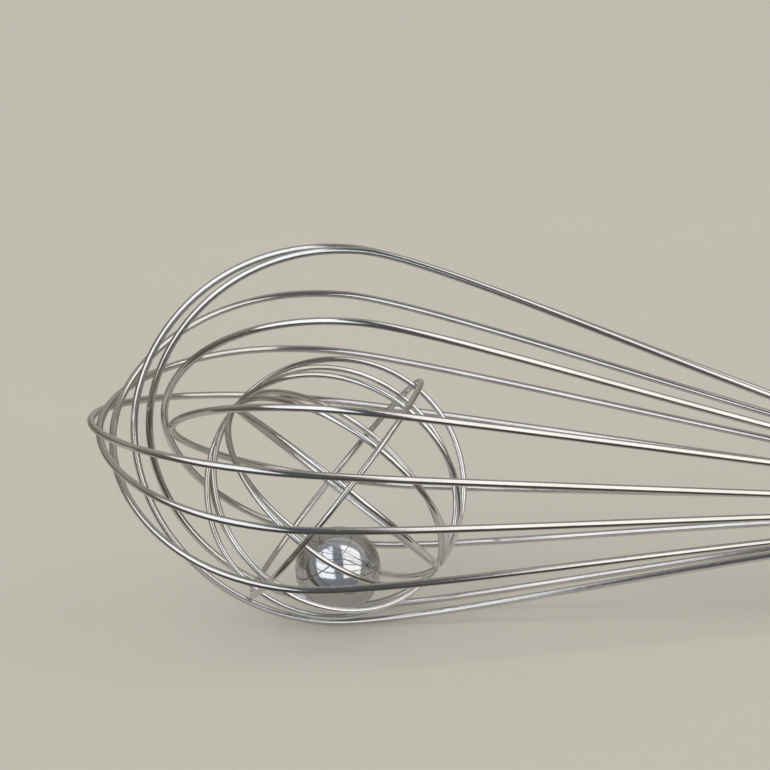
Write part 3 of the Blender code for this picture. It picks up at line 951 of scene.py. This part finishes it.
def turn_piece(name, outline):
    """A turned piece that follows an outline of station and radius, stations along z."""
    bpy.ops.object.select_all(action="DESELECT")
    station, radius = outline[0]
    bpy.ops.mesh.primitive_circle_add(
        vertices=TURNED_SIDES, radius=radius, location=(0, 0, station), enter_editmode=True
    )
    piece = bpy.context.object
    piece.name = piece.data.name = name
    bpy.ops.object.mode_set(mode="OBJECT")
    bpy.ops.object.transform_apply(location=True, rotation=True, scale=True)
    bpy.ops.object.mode_set(mode="EDIT")
    bpy.ops.mesh.select_all(action="SELECT")
    for following, wider in outline[1:]:
        grow_ring(following - station, wider / radius)
        station, radius = following, wider
    return piece


def lay_turned(piece):
    """Closes a turned piece and lays it along the whisk."""
    close_mesh(TURNED_MERGE)
    settle(piece, REST @ Z_TO_X)
    bpy.ops.object.shade_smooth_by_angle(angle=TURNED_SMOOTH)


def rounded_corner(station, radius, size, start, end, steps=6):
    """Points of a rounded corner about a middle, with 0 degrees outwards and 90 to the rear."""
    turns = [math.radians(start + (end - start) * step / steps) for step in range(steps + 1)]
    return [(station + size * math.sin(turn), radius + size * math.cos(turn)) for turn in turns]


print("turned pieces have", TURNED_SIDES, "sides")

# %% Finish of the handle
BRUSH_ROUND = 70.0
DEEP_ROUND = 45.0
DEEP_SHIFT = (0.4, 0.1, 0.2)
TOUCH = (38.0, 60.0, 60.0)


def brushed_finish(name, light, dark, lines_per_metre, gloss):
    """Steel brushed round the whisk's axis."""
    material, tree, shader = new_finish(name, metallic=1.0)
    lie = {"Vector": tree.place(), "Rotation": (0.0, -REST_PITCH, 0.0)}
    along = tree.add("ShaderNodeMapping", {}, lie)
    brush = along.grain((lines_per_metre, BRUSH_ROUND, BRUSH_ROUND), 4.0)
    deep = along.grain((lines_per_metre / 3, DEEP_ROUND, DEEP_ROUND), 2.0, DEEP_SHIFT).between(0.60, 0.72)
    touch = along.grain(TOUCH, 5.0)
    colour = (0.55 * brush + 0.45 * touch).between(0.30, 0.70).blend(dark, light)
    rough = gloss + 0.16 * brush + 0.05 * touch.between(0.40, 0.65) + 0.06 * deep
    relief = brush - 0.6 * deep
    feed(shader, base_color=colour, roughness=rough, normal=relief.bump(0.12, 0.04 * MM))
    return material


TUBE_FINISH = brushed_finish(
    "brushed_tube", light=(0.64, 0.635, 0.62), dark=(0.54, 0.535, 0.525), lines_per_metre=9000.0, gloss=0.18
)
PLUG_FINISH = brushed_finish(
    "turned_plug", light=(0.68, 0.675, 0.66), dark=(0.57, 0.565, 0.55), lines_per_metre=14000.0, gloss=0.10
)
print("handle finishes", TUBE_FINISH.name, PLUG_FINISH.name)

# %% Tube
CLEARANCE = 0.3 * MM
TUBE_WALL = 0.8 * MM
TUBE_LENGTH = 118.0 * MM
TUBE_SWELL = 2.6 * MM
TUBE_BORE = LEG_RADIUS + BALLOON_WIRE / 2 + CLEARANCE
TUBE_RADIUS = TUBE_BORE + TUBE_WALL
TUBE_REAR = TUBE_FRONT + TUBE_LENGTH
SWELL_START = TUBE_FRONT + LEG_LENGTH
SWELL_SKEW = 0.8
SWELL_EASE = 1.5
SWELL_STEPS = 44
BORE_EVERY = 4
FIRST_RING, LAST_RING = TUBE_FRONT + 6 * MM, TUBE_FRONT + 14 * MM


def tube_radius(x):
    """Outer radius of the handle: straight over the clamped legs, then a long swell towards the rear."""
    if x <= SWELL_START:
        return TUBE_RADIUS
    share = (x - SWELL_START) / (TUBE_REAR - SWELL_START)
    return TUBE_RADIUS + TUBE_SWELL * max(0.0, math.sin(math.pi * share ** SWELL_SKEW)) ** SWELL_EASE


lip = TUBE_WALL / 2
front_lip = (TUBE_FRONT + lip, TUBE_RADIUS - lip, lip)
rear_lip = (TUBE_REAR - lip, TUBE_RADIUS - lip, lip)
swell = TUBE_REAR - lip - SWELL_START
stations = [SWELL_START + swell * step / SWELL_STEPS for step in range(SWELL_STEPS + 1)]
outer = rounded_corner(*front_lip, -90, 0) + [(FIRST_RING, TUBE_RADIUS), (LAST_RING, TUBE_RADIUS)]
outer += [(x, tube_radius(x)) for x in stations] + rounded_corner(*rear_lip, 15, 90, 5)
bore = [(x, tube_radius(x) - TUBE_WALL) for x in reversed(stations[:-1:BORE_EVERY])]
bore = rounded_corner(*rear_lip, 105, 165, 4) + bore + [(LAST_RING, TUBE_BORE)]
bore += rounded_corner(*front_lip, 180, 270)
tube = turn_piece("handle_shell", outer + bore)
lay_turned(tube)
dress(tube, TUBE_FINISH, "whisk", "handle", "handle_tube")
print("tube box gap", box_gap(tube, "handle_tube"), "faces", len(tube.data.polygons))

# %% [markdown]
# ## End plug and hanging loop
#
# The rear plug is turned with a rounded flange and two blind holes, in which the ends of a bent wire are
# seated. The holes are cut by a Boolean modifier with a round cutter, as a drill would.

# %% End plug
PLUG_DEPTH = 10.0 * MM
PLUG_FLANGE = 3.0 * MM
PLUG_EDGE = 1.2 * MM
SPIGOT_EDGE = 0.6 * MM
FLANGE_EDGE = 0.15 * MM
FACE_RINGS = (0.78, 0.40, 0.2)
CENTRE_RADIUS = 0.1 * MM
CENTRE_REACH = 0.15 * MM
plug_radius = tube_radius(TUBE_REAR)
plug_front = TUBE_REAR - PLUG_DEPTH
spigot = plug_radius - TUBE_WALL - CLEARANCE
flange = TUBE_REAR + CLEARANCE
plug_back = flange + PLUG_FLANGE
outline = [(plug_front, CENTRE_RADIUS), (plug_front, spigot - SPIGOT_EDGE)]
outline += [(plug_front + SPIGOT_EDGE, spigot), (flange, spigot)]
outline += [(flange, plug_radius - FLANGE_EDGE), (flange + FLANGE_EDGE, plug_radius)]
outline += rounded_corner(plug_back - PLUG_EDGE, plug_radius - PLUG_EDGE, PLUG_EDGE, 0, 90, 9)
outline += [(plug_back, share * plug_radius) for share in FACE_RINGS] + [(plug_back, CENTRE_RADIUS)]
plug = turn_piece("turned_end_plug", outline)
for rear in (True, False):
    select_points(plug, lambda co: co.xy.length < CENTRE_REACH and (co.z > TUBE_REAR) == rear)
    bpy.ops.mesh.merge(type="CENTER")
lay_turned(plug)
print("plug radius in mm", in_mm([plug_radius, spigot]))

# %% Holes for the hanging loop
HANG_WIRE = 2.4 * MM
HANG_WIDTH = 11.0 * MM
HANG_SEAT = 5.0 * MM
DRILL_SIDES = 40
for side in (-1, 1):
    bpy.ops.object.select_all(action="DESELECT")
    bpy.ops.mesh.primitive_cylinder_add(
        vertices=DRILL_SIDES, radius=HANG_WIRE / 2 + CLEARANCE, depth=2 * (HANG_SEAT + CLEARANCE)
    )
    drill = bpy.context.object
    drill.matrix_world = REST @ Matrix.Translation((plug_back, side * HANG_WIDTH / 2, 0)) @ Z_TO_X
    hole = plug.modifiers.new("hole", "BOOLEAN")
    hole.operation = "DIFFERENCE"
    hole.solver = "EXACT"
    hole.object = drill
    pick(plug)
    bpy.ops.object.modifier_apply(modifier="hole")
    bpy.data.objects.remove(drill)
bpy.ops.object.shade_smooth_by_angle(angle=TURNED_SMOOTH)
dress(plug, PLUG_FINISH, "whisk", "handle", "end_plug")
print("plug box gap", box_gap(plug, "end_plug"), "faces", len(plug.data.polygons))

# %% Hanging loop
HANG_REACH = 16.0 * MM
HANG_STEPS = 20
bow_radius = HANG_WIDTH / 2
bow = plug_back + HANG_REACH - HANG_WIRE / 2 - bow_radius
handle_length = bow_radius * arc_handle(90)
leg_shift, ahead = Vector((0, bow_radius, 0)), Vector((handle_length, 0, 0))
crown, crown_handle = Vector((bow + bow_radius, 0, 0)), Vector((0, handle_length, 0))
seated, start = Vector((plug_back - HANG_SEAT, 0, 0)), Vector((bow, 0, 0))
going = [place - leg_shift for place in (seated, start)]
coming = [place + leg_shift for place in (start, seated)]
hang_knots = [(place, place - ahead, place + ahead) for place in going]
hang_knots += [(crown, crown - crown_handle, crown + crown_handle)]
hang_knots += [(place, place + ahead, place - ahead) for place in coming]
hang_knots = [tuple(REST @ point for point in knot) + (1.0,) for knot in hang_knots]
bpy.ops.object.select_all(action="DESELECT")
hanging_loop = bend_wire("bent_hanging_loop", hang_knots, HANG_WIRE, HANG_STEPS)
dress(hanging_loop, HANG_FINISH, "whisk", "hang_wire", "hanging_loop")
print("hanging loop box gap", box_gap(hanging_loop, "hanging_loop"))

# %% [markdown]
# ## The core
#
# The legs are clamped against a fluted core, which is set a little back from the tube's mouth. Its solid
# already has the right shape, so it stays, and only its finish is new: dark filled resin, dull, with specks
# of filler.

# %% Finish of the core
RESIN_SPECKS = 3200.0
RESIN_FLOW = 240.0
SPECK_COLOUR = (0.22, 0.22, 0.215)
resin, tree, shader = new_finish("filled_resin")
specks = tree.place().grain(RESIN_SPECKS, 2.0).between(0.62, 0.70)
flow = tree.place().grain(RESIN_FLOW, 4.0)
resin_colour = flow.between(0.3, 0.7).blend((0.055, 0.055, 0.058), (0.105, 0.105, 0.11))
resin_colour = specks.blend(resin_colour, SPECK_COLOUR)
relief = flow + 0.3 * specks
feed(shader, base_color=resin_colour, roughness=0.42 + 0.2 * flow, normal=relief.bump(0.3, 0.1 * MM))
core = frame["nodes"]["core_plug"]
core.data.materials.clear()
core.data.materials.append(resin)
print("core dressed in", resin.name)

# %% [markdown]
# ## Size of the dressed whisk
#
# The dressed whisk has to stay as large as its solids, so both boxes are printed
# for that comparison.

# %% Size of the dressed whisk
dressed_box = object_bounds()
print("dressed box in mm", in_mm(dressed_box[1] - dressed_box[0]))
